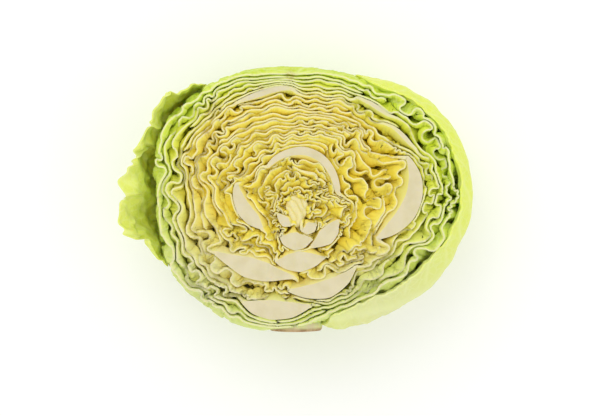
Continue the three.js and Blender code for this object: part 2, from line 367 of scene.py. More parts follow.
def folded(lines, depth):
    """Where the leaves' lines lie when they are folded, at depths in mm below the cut."""
    place, around, level = lines["place"], lines["around"], lines["level"]
    leaf, soft, room, run = lines["leaf"], lines["soft"], lines["room"], lines["run"]
    radial = place / np.hypot(*place.T)[:, None]
    sideways = np.stack([-radial[:, 1], radial[:, 0]], 1)

    # Waves that neighbours share in part, and that lean over where they are high.
    phase = lines["phase"] + 2.2 * noise(COMMON_PHASE, around / 22, level * 6 + depth / 22)
    phase = phase + 2.1 * noise(OWN["phase"] + leaf, run / 17, depth / 7)
    height = np.minimum(waviness(around, level) * room * soft / 2, 3.2)
    height = height * (0.9 + 0.75 * noise(OWN["height"] + leaf, run / 15, depth / 10))
    out = height * np.cos(phase)
    along = 0.32 * height * np.sin(2 * phase)

    # Smaller dents of each leaf's own.
    bumps = 0.55 * noise(OWN["bump"] + leaf, run / 6, depth / 6)
    bumps = bumps + 0.35 * noise(OWN["dimple"] + leaf, run / 3.6, depth / 4)
    bumps = bumps + 0.16 * noise(OWN["dimple"] + leaf, run / 1.9 + 31, depth / 3)
    out = out + soft * np.clip(room / 3.3, 0.3, 1.4) * bumps

    # A slow drift towards one neighbour or the other, which opens pockets. The skin has none.
    drift = mix(0.36, 0.6, bell(around, 95, 40)) * room * soft * (leaf > 0)
    out = out + drift * noise(OWN["ruffle"] + leaf, run / 24 + 7, depth / 30)

    # Fine ruffles in their patches.
    fine = 2 * np.pi * run / 2.6 + 2 * noise(OWN["ruffle_phase"] + leaf, run / 5, depth / 4)
    ruffle = ruffling(lines) * (0.85 + 0.4 * noise(OWN["ruffle"] + leaf, run / 4, depth / 4))
    out = out + ruffle * np.cos(fine)
    along = along + 0.2 * ruffle * np.sin(2 * fine)

    # The whole nest sways a little.
    x, y = place.T / 18
    warp = np.stack([noise(WARP_X, x, y + depth / 25), noise(WARP_Y, x + depth / 25, y)], 1)
    return place + radial * out[:, None] + sideways * along[:, None] + warp * 1.6 * soft[:, None]


def make_lines(spacing):
    """Points along every leaf's line, spaced evenly along its folds."""
    grid, *rows = lay_out()
    radius, facts = rows[0], dict(zip(("half", "soft", "rib", "room"), rows[1:]))
    lines = {}
    for k, (_, start, end) in enumerate(SHEETS):
        around = np.linspace(start, end, DENSE)
        r = np.interp(around, grid, radius[k])
        skin = skin_radius(around)
        level = (skin - r) / (skin - HEART_RADIUS)
        angle = np.radians(around)
        place = np.stack([r * np.cos(angle), r * np.sin(angle)], 1)
        dense = {"place": place, "around": around, "level": level}
        dense.update({name: np.interp(around, grid, values[k]) for name, values in facts.items()})
        dense["room"] = np.clip(dense["room"], 0.3, 9)
        dense["leaf"] = np.full(DENSE, k)
        dense["run"] = run_along(place)
        steps = np.hypot(*np.diff(place, axis=0).T)
        waves = wavelength(around, level, dense["room"])[1:]
        phase = 2 * np.pi * np.concatenate([[0], np.cumsum(steps / waves)])
        # neighbours' waves start together, beyond the leaves' tips or at the left
        dense["phase"] = phase - np.interp(90 if around[0] < 90 < around[-1] else 180, around, phase)
        bends = folded(dense, np.zeros(DENSE))
        finer = 1 - 0.3 * ruffling(dense)[1:] - 0.25 * smooth(level[1:], 0.75, 0.9)
        steps = np.hypot(*np.diff(bends, axis=0).T) / (spacing * finer)
        walk = np.concatenate([[0], np.cumsum(steps)])
        stops = np.linspace(0, walk[-1], max(10, int(walk[-1])) + 1)
        for key, values in dense.items():
            if key == "leaf":
                taken = np.full(len(stops), k)
            elif key == "place":
                taken = np.stack([np.interp(stops, walk, values[:, axis]) for axis in (0, 1)], 1)
            else:
                taken = np.interp(stops, walk, values)
            lines.setdefault(key, []).append(taken)
    return {key: np.concatenate(parts) for key, parts in lines.items()}


def close_pairs(points, reach):
    """Numbers of all pairs of points nearer than reach, found on a grid of squares."""
    square = np.floor(points / reach).astype(np.int64)
    square -= square.min(0)
    rows = square[:, 1].max() + 3
    key = square[:, 0] * rows + square[:, 1] + 1
    order = np.argsort(key, kind="stable")
    ranked = key[order]
    firsts, seconds = [], []
    for offset in (0, 1, rows - 1, rows, rows + 1):
        low = np.searchsorted(ranked, key + offset, "left")
        count = np.searchsorted(ranked, key + offset, "right") - low
        first = np.repeat(np.arange(len(points)), count)
        ramp = np.arange(count.sum()) - np.repeat(np.cumsum(count) - count, count)
        second = order[np.repeat(low, count) + ramp]
        gap = points[first] - points[second]
        near = (gap * gap).sum(1) < reach * reach
        if offset == 0:
            near &= first < second
        firsts.append(first[near])
        seconds.append(second[near])
    return np.concatenate(firsts), np.concatenate(seconds)


def touching(points, lines, spacing):
    """Pairs of points whose sheets are near each other, and how near each pair may come."""
    half, leaf = lines["half"], lines["leaf"]
    thick = half > RIB_HALF
    # a third of a midrib's points stand for all of them, because its faces are far from its line
    proxies = np.nonzero(thick & (np.arange(len(points)) % 3 == 0))[0]
    i, j = close_pairs(points, 1.0 + NEAR)
    across = points[proxies][:, None] - points[None]
    reach = half[proxies][:, None] + half[None] + TOUCH + 0.8
    a, b = np.nonzero((across**2).sum(2) < reach**2)
    blades = ~(thick[i] | thick[j])
    i = np.concatenate([i[blades], proxies[a]])
    j = np.concatenate([j[blades], b])
    # along one line, only points that a fold has brought together
    apart = (leaf[i] != leaf[j]) | (np.abs(i - j) * spacing > (half[i] + half[j]) * 1.6 + 1.2)
    i, j = i[apart], j[apart]
    return i, j, half[i] + half[j] + TOUCH, half[i] + half[j] + NEAR * (leaf[i] != leaf[j])


def settle(points, lines, goal, lengths, rounds, spacing, start=None, start_lengths=None, hold=0.05):
    """Push the lines apart where they crowd, while they keep to their goal and their lengths.

    With a start, the goal and the lengths move there from it in the first three quarters of the rounds.
    """
    half, rib, leaf = lines["half"], lines["rib"], lines["leaf"]
    count = len(points)
    link = np.nonzero(leaf[1:] == leaf[:-1])[0]
    inner = np.zeros(count, bool)
    inner[1:-1] = (leaf[1:-1] == leaf[:-2]) & (leaf[1:-1] == leaf[2:])
    inner = np.nonzero(inner)[0]
    grip = (0.3 * np.clip(rib * 2, 0, 1) + hold)[:, None]
    heart = HEART_RADIUS + half
    last_goal, last_lengths = goal, lengths
    for step in range(rounds):
        if start is not None:
            progress = min(1, (step + 1) / (rounds * 0.75))
            goal = mix(start, last_goal, progress)
            lengths = mix(start_lengths, last_lengths, progress)
        if step % 6 == 0:
            i, j, firm, light = touching(points, lines, spacing)
            weight_i, weight_j = 1 / (1 + rib[i] * 8), 1 / (1 + rib[j] * 8)
        move = (goal - points) * grip

        # keep the lengths
        span = points[link + 1] - points[link]
        length = np.maximum(np.hypot(*span.T), 1e-6)
        pull = (0.3 * (length - lengths) / length)[:, None] * span
        move[link] += pull
        move[link + 1] -= pull

        # stay smooth
        bend = np.zeros_like(points)
        bend[inner] = (points[inner - 1] + points[inner + 1]) / 2 - points[inner]
        move += bend * 0.1
        move[inner] += (bend[inner] - (bend[inner - 1] + bend[inner + 1]) / 2) * 0.35

        # make room
        span = points[i] - points[j]
        length = np.maximum(np.hypot(*span.T), 1e-6)
        push = (np.maximum(0, firm - length) * 0.4 + np.maximum(0, light - length) * 0.012) / length
        for axis in (0, 1):
            pushed = span[:, axis] * push
            move[:, axis] += np.bincount(i, pushed * weight_i, count)
            move[:, axis] -= np.bincount(j, pushed * weight_j, count)

        # stay between the skin and the heart
        radius = np.hypot(*points.T)
        skin = skin_radius(np.degrees(np.arctan2(points[:, 1], points[:, 0]))) - half
        past = 0.6 * (np.maximum(0, radius - skin) - np.maximum(0, heart - radius))
        move -= points * (past / np.maximum(radius, 1e-6))[:, None]
        size = np.hypot(*move.T)
        points = points + move * np.minimum(1, LONGEST_MOVE / np.maximum(size, 1e-9))[:, None]
    return points


def depth_of(level, drop):
    """How deep under the cut the drop takes a level of the nest, in mm."""
    return mix(HEAD_DEPTH, HEART_DEPTH, level) * np.sin(np.radians(drop))


def grow_sections(spacing):
    """The leaves' settled lines in every slice, from the cut down."""
    lines = make_lines(spacing)
    link = np.nonzero(lines["leaf"][1:] == lines["leaf"][:-1])[0]

    def lengths(points):
        return np.hypot(*(points[link + 1] - points[link]).T)

    level = np.minimum(lines["level"], 1)
    wanted = folded(lines, np.zeros(len(level)))
    flat = lines["place"]
    slack = lengths(wanted) * SLACK
    points = settle(flat, lines, wanted, slack, CUT_ROUNDS, spacing, flat, lengths(flat))
    slices = [points]
    for drop in DROPS[1:]:
        before, wanted = wanted, folded(lines, depth_of(level, drop))
        goal = points + wanted - before
        points = settle(points, lines, goal, lengths(wanted) * SLACK, SLICE_ROUNDS, spacing, hold=0.12)
        slices.append(points)
    return lines, slices


# ---------------------------------------------------------------------------------------------
# From the nest to the head
# ---------------------------------------------------------------------------------------------


def heart_place():
    """The heart's middle in the cut, in metres in the model's frame."""
    low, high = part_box("heart_bud")
    return np.array([(low[0] + high[0]) / 2, (low[1] + high[1]) / 2, CAD_BOX[1][2]])


def skin_swell(around):
    """How far the skin swells out under the cut: most beyond the tips of the leaves."""
    return SKIN_SWELL + TIP_SWELL * bell(around, 90, 50)


def into_head(points, drop, pole_level, floor, recess):
    """Points of a slice, at their drop, in metres in the model's frame.

    Each sheet closes at its own level under the heart, the pole level, and none reaches below its floor.
    A recess sinks the points next to the cut.
    """
    radius = np.hypot(*points.T)
    around = np.degrees(np.arctan2(points[:, 1], points[:, 0]))
    level = np.clip((skin_radius(around) - radius) / (skin_radius(around) - HEART_RADIUS), -0.1, 1.1)
    level = mix(level, pole_level, smooth(drop, 15, 80))
    down = math.radians(drop)
    swell = skin_swell(around) * (1 - np.clip(level, 0, 1)) ** 2 - INNER_LEAN * smooth(level, 0.08, 0.5)
    out = math.cos(down) + swell * math.sin(down) * math.cos(down)
    z = -mix(HEAD_DEPTH, HEART_DEPTH, level) * math.sin(down)
    z = np.maximum(z - recess * np.exp(z / 6), floor)
    placed = np.column_stack([points[:, 0] * out, points[:, 1] * out, z])
    if drop == 90:
        placed[:, :2] = 0
    return placed * MM + heart_place()


def sideways_of(line, half):
    """The way out from each point of a line, steadier where the sheet is thick."""
    along = np.gradient(line, axis=0)
    along /= np.maximum(np.hypot(*along.T), 1e-9)[:, None]
    normal = np.stack([along[:, 1], -along[:, 0]], 1)
    steady = mix(normal, spread(normal, 23), smooth(half, 0.8, 1.8)[:, None])
    return steady / np.maximum(np.hypot(*steady.T), 1e-9)[:, None]


def free_rooms(lines, slices):
    """How far the next sheet lies beyond each point's inner side, in each of the upper slices."""
    half, leaf = lines["half"], lines["leaf"]
    rooms = []
    for points in slices[:FILLED]:
        i, j = close_pairs(points, FREE_REACH)
        i, j = np.concatenate([i, j]), np.concatenate([j, i])
        normal = np.empty_like(points)
        for k in range(COUNT):
            mine = leaf == k
            normal[mine] = sideways_of(points[mine], half[mine])
        gap = points[j] - points[i]
        ahead = -(gap * normal[i]).sum(1)
        aside = np.abs(gap[:, 0] * normal[i, 1] - gap[:, 1] * normal[i, 0])
        seen = (ahead > 0.2) & (aside < 0.5 + 0.3 * ahead) & ((leaf[i] != leaf[j]) | (np.abs(i - j) > 4))
        room = np.full(len(points), FREE_REACH)
        np.minimum.at(room, i[seen], (ahead - half[i] - half[j])[seen])
        for k in range(COUNT):
            mine = leaf == k
            beside = np.pad(room[mine], 2, mode="edge")
            least = np.minimum.reduce([beside[shift : shift + mine.sum()] for shift in range(5)])
            room[mine] = spread(least[:, None], 9)[:, 0]
        rooms.append(np.maximum(room, 0.05))
    return rooms + [rooms[-1]] * (len(slices) - len(rooms))


def between(rows, drop):
    """What the slices hold, mixed for a drop between two of them."""
    place = np.interp(drop, DROPS, np.arange(len(DROPS)))
    first = min(int(place), len(DROPS) - 2)
    return mix(rows[first], rows[first + 1], place - first)


def outer_leaves(along, about, ahead):
    """Which of the skin's three leaves shows at a place, and how far its margin is, in degrees."""
    first = 48 + 9 * np.sin(2 * along) + 2.5 * noise(FIRST_EDGE, ahead / 9, 0 * ahead)
    second = 116 + 8 * np.sin(1.7 * along + 1) + 2.5 * noise(SECOND_EDGE, ahead / 9, 0 * ahead)
    leaf = (about > first).astype(int) + (about > second)
    return leaf, np.minimum(about - first, second - about)


def raise_veins(face, share):
    """An outer face with its veins raised by a share from 0 to 1, and where they run, from 0 to 1.

    A place has an angle along the head, from the stem's end to the tip, and one about the line between
    them. Three leaves meet there, each with a midrib from the stem to its tip and side veins that fan out
    from it. The middle leaf lies over the others.
    """
    out = (face - heart_place()) / MM
    reach = np.linalg.norm(out, axis=2)
    along = np.arccos(-out[..., 1] / reach)
    about = np.degrees(np.arctan2(np.abs(out[..., 2]), out[..., 0]))
    ahead = BALL_RADIUS * along
    across = BALL_RADIUS * np.sin(along)
    leaf, margin = outer_leaves(along, about, ahead)
    aside = across * np.abs(np.radians(about - np.array(SKIN_MIDRIBS)[leaf]))
    near_stem = (1 - along / np.pi) ** 2
    midrib = np.exp(-((aside / (1.4 + 3.4 * near_stem)) ** 2))
    wander = 2.5 * noise(SIDE_VEINS, aside / 12, ahead / 12 + 7 * leaf)
    fan = (ahead - 0.95 * aside + wander) / SIDE_VEIN_SPACING
    side = np.exp(-((SIDE_VEIN_SPACING * (fan - np.round(fan)) / 1.3) ** 2))
    side = side * smooth(aside, 1, 6) * (1 - 0.6 * smooth(aside, 20, 60))
    over = np.exp(-np.abs(across * np.radians(margin)) / 9) * (leaf == 1)
    over = over * smooth(np.sin(along), 0.15, 0.5)
    ridge = (0.5 + 2 * near_stem) * midrib + 0.5 * side + 0.9 * over
    ridge = ridge + 0.4 * noise(SKIN_DENTS, aside / 15 + 3 * leaf, ahead / 15)
    ridge = ridge * smooth(across, 17, 26)  # they sink into the skin round the sawn end of the stem
    raised = face + out * (ridge * share / reach)[..., None] * MM
    raised[..., 2] = np.maximum(raised[..., 2], CAD_BOX[0][2])
    return raised, np.maximum(midrib, 0.8 * side)


def sinking(lines, mine, run, k):
    """How far each point of a sheet's edge lies under the cut: soft blades bend away from the knife."""
    soft = lines["soft"][mine]
    around = lines["around"][mine]
    channel = OWN["recess"] + k
    loose = smooth(lines["room"][mine], 2.0, 5.0) * soft * (k > 0)
    recess = noise(channel, run / 9, 0 * run) + 0.5 * noise(channel, run / 4, 9.5 + 0 * run)
    recess = np.clip(recess, 0, 1) * mix(1.2, 4.5, loose) * soft * (0.3 if k == 0 else 1)
    if k % 2:  # every other sheet sinks where the head is loosest
        loosest = 3.5 * bell(around, -46, 24) + 2.5 * bell(around, 184, 20)
        recess = recess + loosest * soft * smooth(run, 4, 12)
    return recess


def shell_faces(lines, slices, rooms, k):
    """Outer and inner face of a sheet: an array of rows from the cut down, columns around it, x y z.

    Also where the veins run on the outer one.
    """
    mine = np.nonzero(lines["leaf"] == k)[0]
    run = run_along(slices[0][mine])
    margin = smooth(np.minimum(run, run[-1] - run), 0, 2.5)
    recess = sinking(lines, mine, run, k)
    level = np.clip(lines["level"][mine], 0, 1)
    thickness = lines["half"][mine]
    firm = smooth(thickness, 0.8, 2.0)[:, None]
    floor = k * NEST_LIFT / COUNT - REST_DEPTH
    outer_drops = DROPS if k else SKIN_DROPS
    outer, inner = [], []
    for drops, rows in ((outer_drops, outer), (DROPS, inner)):
        for drop in drops:
            points = between(slices, drop)[mine]
            line = mix(points, spread(points, 15), firm)
            normal = sideways_of(line, thickness)
            half = mix(HEART_BLADE_HALF, thickness, math.cos(math.radians(drop)) ** 2)
            half = mix(MARGIN_HALF * margin, half, margin)
            if rows is outer:
                line = line + normal * half[:, None]
                rows.append(into_head(line, drop, (k + 0.15) / COUNT, floor, recess))
            else:
                room = between(rooms, drop)[mine] * margin
                bank = BANK * room * (1 - np.exp(-BANK_SLOPE * depth_of(level, drop) / (0.3 + room)))
                line = line - normal * (half + bank)[:, None]
                rows.append(into_head(line, drop, (k + 0.75) / COUNT, floor + WALL, recess))
    outer, inner = np.array(outer), np.array(inner)
    if k:
        return outer, inner, np.zeros(outer.shape[:2])
    outer, veins = raise_veins(outer, smooth(outer_drops, 1.5, 7)[:, None] * margin)
    return outer, inner, veins


LOOSE_ROWS = 46
LOOSE_END = 58.0  # drop of a loose leaf's lower edge
LOOSE_HALF = 0.5  # half a loose leaf's thickness


def frills(channel, run, depth, near, wave, bulge):
    """How far a loose leaf's waves, ripples, pleats and dents stand out, and the phase of the waves."""
    phase = 2 * np.pi * run / 21 + 3 * noise(channel + 1, run / 26 + 0 * depth, depth / 20)
    frill = wave * near * (0.5 + 0.5 * np.cos(phase))
    ripple = 2 * np.pi * run / 7 + 4 * noise(channel + 2, run / 10 + 0 * depth, depth / 9)
    frill = frill + 0.25 * wave * near * np.cos(ripple)
    pleats = 2 * np.pi * run / 13 + 4 * noise(channel + 5, run / 12 + 0 * depth, depth / 16)
    frill = frill + 0.2 * wave * np.sqrt(near) * np.cos(pleats) * (1 - bulge)
    dents = noise(channel + 3, run / 11 + 0 * depth, depth / 11)
    dents = dents + 0.4 * noise(channel + 4, run / 4 + 0 * depth, depth / 4)
    side = smooth(np.minimum(run, run[-1] - run), 0, 18)
    return frill + (0.4 + 0.2 * wave) * side * dents * (1.6 - 0.9 * bulge), phase


def loose_faces(stops, bulge, top_drop, wave, channel):
    """Outer and inner face of a leaf that stands away from the skin, from its rim down.

    Stops are angles and how far the leaf stands out there. A leaf with a bulge of 1 lies on the skin at
    its rim and swells out under it; one with 0 stands out at its rim. Also where its veins run, how near
    each place is to the rim, and the angles of its columns at the rim.
    """
    angles = [stop[0] for stop in stops]
    around = np.linspace(angles[0], angles[-1], int((angles[-1] - angles[0]) * 2.4))
    share = np.linspace(0, 1, LOOSE_ROWS)[:, None] ** 1.3
    run = np.radians(around - angles[0]) * BALL_RADIUS
    side = smooth(np.minimum(run, run[-1] - run), 0, 18)

    # The ragged rim, the rounded lower edge, and the leaf's narrowing between them.
    ragged = 1.3 * noise(channel, run / 16, 0 * run) + 0.7 * noise(channel, run / 5, 5 + 0 * run)
    rim = top_drop + np.maximum(ragged, -1.5) * (1 - 0.7 * bulge) + 10 * (1 - side) ** 2
    end = LOOSE_END + 4 * noise(channel + 4, run / 30, 2 + 0 * run) - 14 * (1 - side)
    drop = mix(rim[None], end[None], share)
    narrow = 1 - 0.3 * smooth(drop, 8, 62)
    place = angles[0] + (around - angles[0]) * narrow + (1 - narrow) * (angles[-1] - angles[0]) / 2
    place = place + 3 * (1 - side) * noise(channel + 5, drop / 7, 3.5 + 0 * drop)
    down = np.radians(drop)
    depth = HEAD_DEPTH * np.sin(down)
    near = np.exp(-((drop - rim) / 12)) * side

    # How far it stands out from the skin.
    standing = averaged(np.interp(around, angles, [stop[1] for stop in stops]), np.hanning(13))
    flared = 0.85 * np.exp(-((drop - rim) / 6)) + 0.15 * np.cos(down) ** 2
    swollen = smooth(drop, 0, 13) * (1 - 0.85 * smooth(drop, 22, 58))
    frill, phase = frills(channel, run, depth, near, wave, bulge)
    offset = 1.0 - 0.6 * bulge + standing * mix(flared, swollen, bulge) + frill
    offset = np.maximum(offset, 0.8 - 0.5 * bulge)

    swell = np.cos(down) + skin_swell(place) * np.sin(down) * np.cos(down)
    shift = 0.7 * wave * near * np.sin(phase)
    way = np.stack([np.cos(np.radians(place)), np.sin(np.radians(place))])
    thick = LOOSE_HALF * smooth(np.minimum(run, run[-1] - run), 0, 3) * (1 - smooth(share, 0.9, 1.0))
    faces = []
    for sign in (1, -1):
        inward = 2.6 * bulge * (sign < 0) * smooth(drop - rim, 0, 2.5) * (thick > 0.2)
        radius = skin_radius(place) * swell + offset + sign * thick - inward
        x = radius * way[0] - shift * way[1]
        y = radius * way[1] + shift * way[0]
        z = np.maximum(-depth - 0.3 * wave * near * np.cos(phase * 2), 0.2 - REST_DEPTH)
        faces.append(np.stack([x, y, z], 2) * MM + heart_place())
    outer, veins = raise_veins(faces[0], smooth(drop - rim, 1.5, 7) * thick / LOOSE_HALF)
    return outer, faces[1], veins, near, around


# ---------------------------------------------------------------------------------------------
# Mesh and material helpers
# ---------------------------------------------------------------------------------------------


MERGE_DISTANCE = 1e-7
SHARP_ANGLE = 38  # degrees


def deselect():
    """Leave edit mode, with nothing selected."""
    if bpy.context.object and bpy.context.object.mode != "OBJECT":
        bpy.ops.object.mode_set(mode="OBJECT")
    bpy.ops.object.select_all(action="DESELECT")


def folded_grid(name, rows):
    """A grid primitive whose rows are laid on the given places, and the row and column of each of its points.
    """
    deselect()
    count, columns = rows.shape[:2]
    bpy.ops.mesh.primitive_grid_add(x_subdivisions=columns - 1, y_subdivisions=count - 1, size=2)
    piece = bpy.context.object
    piece.name = name
    mesh = piece.data
    mesh.name = name
    flat = np.empty(len(mesh.vertices) * 3)
    mesh.vertices.foreach_get("co", flat)
    flat = flat.reshape(-1, 3)
    column = np.rint((flat[:, 0] + 1) / 2 * (columns - 1)).astype(int)
    row = np.rint((flat[:, 1] + 1) / 2 * (count - 1)).astype(int)
    mesh.vertices.foreach_set("co", rows[row, column].ravel())
    mesh.update()
    return piece, row, column


def close_seams():
    """Merge the active piece's rows and columns that meet, and shade it smooth but for the knife's edges."""
    bpy.ops.object.mode_set(mode="EDIT")
    bpy.ops.mesh.select_all(action="SELECT")
    bpy.ops.mesh.remove_doubles(threshold=MERGE_DISTANCE)
    bpy.ops.mesh.select_all(action="DESELECT")
    bpy.ops.object.mode_set(mode="OBJECT")
    bpy.ops.object.shade_smooth_by_angle(angle=math.radians(SHARP_ANGLE))


def add_values(mesh, name, values):
    """Give each point of a mesh a value that its material reads."""
    mesh.attributes.new(name, "FLOAT", "POINT").data.foreach_set("value", values)


def new_material(name):
    """A material with nothing but its shader."""
    material = bpy.data.materials.new(name)
    material.use_nodes = True
    nodes = material.node_tree.nodes
    nodes.clear()
    shader = nodes.new("ShaderNodeBsdfPrincipled")
    output = nodes.new("ShaderNodeOutputMaterial")
    material.node_tree.links.new(shader.outputs["BSDF"], output.inputs["Surface"])
    return material, shader


class Sheet:
    """Adds linked nodes to a material."""

    def __init__(self, material):
        self.nodes = material.node_tree.nodes
        self.links = material.node_tree.links
        self.place = self.nodes.new("ShaderNodeTexCoord").outputs["Object"]

    def plug(self, socket, value):
        if isinstance(value, bpy.types.NodeSocket):
            self.links.new(value, socket)
        else:
            socket.default_value = value

    def value(self, name):
        node = self.nodes.new("ShaderNodeAttribute")
        node.attribute_name = name
        return node.outputs["Fac"]

    def range(self, value, low, high, start=0.0, end=1.0):
        node = self.nodes.new("ShaderNodeMapRange")
        node.interpolation_type = "SMOOTHSTEP"
        names = ("Value", "From Min", "From Max", "To Min", "To Max")
        for name, given in zip(names, (value, low, high, start, end)):
            self.plug(node.inputs[name], given)
        return node.outputs["Result"]

    def math(self, operation, first, second):
        node = self.nodes.new("ShaderNodeMath")
        node.operation = operation
        self.plug(node.inputs[0], first)
        self.plug(node.inputs[1], second)
        return node.outputs[0]

    def noise(self, per_metre, detail=3.0, roughness=0.5):
        node = self.nodes.new("ShaderNodeTexNoise")
        self.links.new(self.place, node.inputs["Vector"])
        node.inputs["Scale"].default_value = per_metre
        node.inputs["Detail"].default_value = detail
        node.inputs["Roughness"].default_value = roughness
        return node.outputs["Fac"]

    def blend(self, share, first, second):
        node = self.nodes.new("ShaderNodeMix")
        node.data_type = "RGBA"
        self.plug(node.inputs["Factor"], share)
        self.plug(node.inputs["A"], first)
        self.plug(node.inputs["B"], second)
        return node.outputs["Result"]

    def bump(self, height, distance, strength, normal=None):
        node = self.nodes.new("ShaderNodeBump")
        node.inputs["Strength"].default_value = strength
        node.inputs["Distance"].default_value = distance
        self.plug(node.inputs["Height"], height)
        if normal:
            self.links.new(normal, node.inputs["Normal"])
        return node.outputs["Normal"]


def vein_lines(sheet):
    """Where a leaf's veins and the fine net between them run, from 0 to 1."""
    net = sheet.nodes.new("ShaderNodeTexVoronoi")
    net.feature = "DISTANCE_TO_EDGE"
    net.inputs["Scale"].default_value = 190
    sheet.links.new(sheet.place, net.inputs["Vector"])
    fine = sheet.range(net.outputs["Distance"], 0.03, 0.12, 0.45, 0.0)
    return sheet.math("MAXIMUM", sheet.value("vein"), fine)


def leaf_material(name, colours, vein_share=0.0):
    """A leaf's finish: a waxy blade from green to gold with painted shade deeper under the cut, a white
    midrib, and the knife's pale cut.
    """
    material, shader = new_material(name)
    sheet = Sheet(material)
    cut = sheet.value("cut")
    green = sheet.value("green")
    rib = sheet.value("rib")
    pale = sheet.value("pale")
    mottle = sheet.noise(160, 4.0, 0.6)
    grain = sheet.noise(500, 2.0)

    # The blade, with painted shade: darker and deeper in colour away from the cut, down in the crevices
    # between the leaves, a little less so in mottled patches. Its whitish patches fade into the painted shade
    # too.
    depth_shade = sheet.math("MULTIPLY", sheet.value("depth_shade"), sheet.range(mottle, 0.25, 0.6, 1.0, 0.6))
    gold = sheet.blend(depth_shade, tuple(colours.pale_gold), tuple(colours.gold))
    leaf_green = sheet.blend(depth_shade, tuple(colours.pale_green), tuple(colours.green))
    blade = sheet.blend(green, gold, leaf_green)
    fading = sheet.math("MULTIPLY", pale, sheet.math("SUBTRACT", 1.0, sheet.math("MULTIPLY", depth_shade, 0.7)))
    blade = sheet.blend(fading, blade, tuple(colours.whitish))

    # The midrib, and the knife's cut through both.
    specks = sheet.range(sheet.noise(130, 3.0), 0.35, 0.75)
    white = sheet.blend(specks, tuple(colours.rib), tuple(colours.rib_grain))
    blade = sheet.blend(sheet.math("MULTIPLY", rib, 0.85), blade, white)
    edge = sheet.blend(green, tuple(colours.cut), tuple(colours.green_cut))
    edge = sheet.blend(sheet.math("MULTIPLY", pale, 0.6), edge, white)
    edge = sheet.blend(rib, edge, white)

    relief = grain
    if vein_share:
        veins = vein_lines(sheet)
        blade = sheet.blend(sheet.math("MULTIPLY", veins, vein_share), blade, tuple(colours.vein))
        relief = sheet.math("ADD", sheet.math("MULTIPLY", grain, 0.3), veins)
    colour = sheet.blend(cut, blade, edge)
    dried = sheet.range(sheet.noise(700, 3.0), 0.35, 0.6, 0.15, 0.75)
    colour = sheet.blend(sheet.math("MULTIPLY", sheet.value("brown"), dried), colour, tuple(colours.bruise))
    sheet.links.new(colour, shader.inputs["Base Color"])

    # The blade is creased, and the cut is not.
    sheet.links.new(sheet.range(mottle, 0.2, 0.8, 0.5, 0.65), shader.inputs["Roughness"])
    fine = sheet.bump(relief, 0.0003, 0.15)
    creases = sheet.math("MULTIPLY", sheet.noise(380, 3.0), sheet.math("SUBTRACT", 1.0, cut))
    sheet.links.new(sheet.bump(creases, 0.0012, 0.4, fine), shader.inputs["Normal"])
    shader.inputs["Subsurface Weight"].default_value = 0.3
    shader.inputs["Subsurface Radius"].default_value = (1.0, 0.8, 0.3)
    shader.inputs["Subsurface Scale"].default_value = 0.002
    shader.inputs["Specular IOR Level"].default_value = 0.1
    return material


def stem_material(colours):
    """The stem's finish: a whitish side, and a sawn end that has dried brown."""
    material, shader = new_material("stem")
    sheet = Sheet(material)
    dried = sheet.value("dried")
    blotch = sheet.range(sheet.noise(260, 4.0, 0.6), 0.35, 0.7)
    brown = sheet.blend(blotch, tuple(colours.stem_brown), tuple(colours.stem_tan))
    patch = sheet.range(sheet.noise(120, 3.0), 0.4, 0.65)
    side = sheet.blend(patch, tuple(colours.rib), tuple(colours.green_cut))
    colour = sheet.blend(dried, side, brown)
    sheet.links.new(colour, shader.inputs["Base Color"])
    sheet.links.new(sheet.bump(sheet.noise(700, 4.0), 0.0006, 0.6), shader.inputs["Normal"])
    shader.inputs["Roughness"].default_value = 0.7
    shader.inputs["Subsurface Weight"].default_value = 0.2
    shader.inputs["Subsurface Scale"].default_value = 0.002
    return material


# ---------------------------------------------------------------------------------------------
# Settings
# ---------------------------------------------------------------------------------------------


def colour_property(name, description, value):
    return bpy.props.FloatVectorProperty(
        name=name, description=description, default=(*value, 1.0), subtype="COLOR", size=4, min=0, max=1
    )


class CabbageColours(bpy.types.PropertyGroup):
    """Colours of the leaves and the stem"""

    # Gold and green are the blades' colours in full painted shade deep under the cut; pale gold and pale
    # green are their colours at the cut, and mottled patches lie between.
    gold: colour_property("Gold", "Blades near the heart", (0.80, 0.58, 0.005))
    pale_gold: colour_property("Pale gold", "Lighter patches of those blades", (0.90, 0.78, 0.14))
    green: colour_property("Green", "Blades near the skin", (0.51, 0.67, 0.004))
    pale_green: colour_property("Pale green", "Lighter patches of those blades", (0.76, 0.86, 0.12))
    whitish: colour_property("Whitish green", "The palest outer blades", (0.72, 0.73, 0.37))
    vein: colour_property("Vein", "Veins of the outer leaves", (0.86, 0.90, 0.50))
    cut: colour_property("Cut", "The blades' edges where the knife went through", (0.85, 0.76, 0.36))
    green_cut: colour_property("Green cut", "The same near the skin", (0.78, 0.80, 0.38))
    rib: colour_property("Midrib", "Midribs and stem", (0.72, 0.65, 0.435))
    rib_grain: colour_property("Midrib grain", "Darker specks of the midribs", (0.67, 0.60, 0.37))
    bruise: colour_property("Bruise", "Browned patches of the cut", (0.42, 0.28, 0.10))
    stem_brown: colour_property("Stem brown", "The dried, sawn end of the stem", (0.30, 0.16, 0.06))
    stem_tan: colour_property("Stem tan", "Lighter patches of that end", (0.52, 0.36, 0.18))


class CabbageSettings(bpy.types.PropertyGroup):
    """Sizes that the leaves are made from"""

    spacing: bpy.props.FloatProperty(
        name="Spacing",
        description="Distance between the points of a leaf's line in the cut, in millimetres",
        default=0.7,
        min=0.5,
        max=2.0,
    )
    lens: bpy.props.FloatProperty(
        name="Lens",
        description="Focal length of the camera, in millimetres",
        default=85.0,
    )
    view_width: bpy.props.FloatProperty(
        name="View width",
        description="Width that the camera sees at the cut",
        default=0.349,
        unit="LENGTH",
    )


# ---------------------------------------------------------------------------------------------
# Operators
# ---------------------------------------------------------------------------------------------


def finish_piece(piece, node, material):
    """Give a piece its finish, hang it from the root, and hide the node that it stands for."""
    piece.data.materials.append(material)
    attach(piece, "root")
    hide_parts(node)


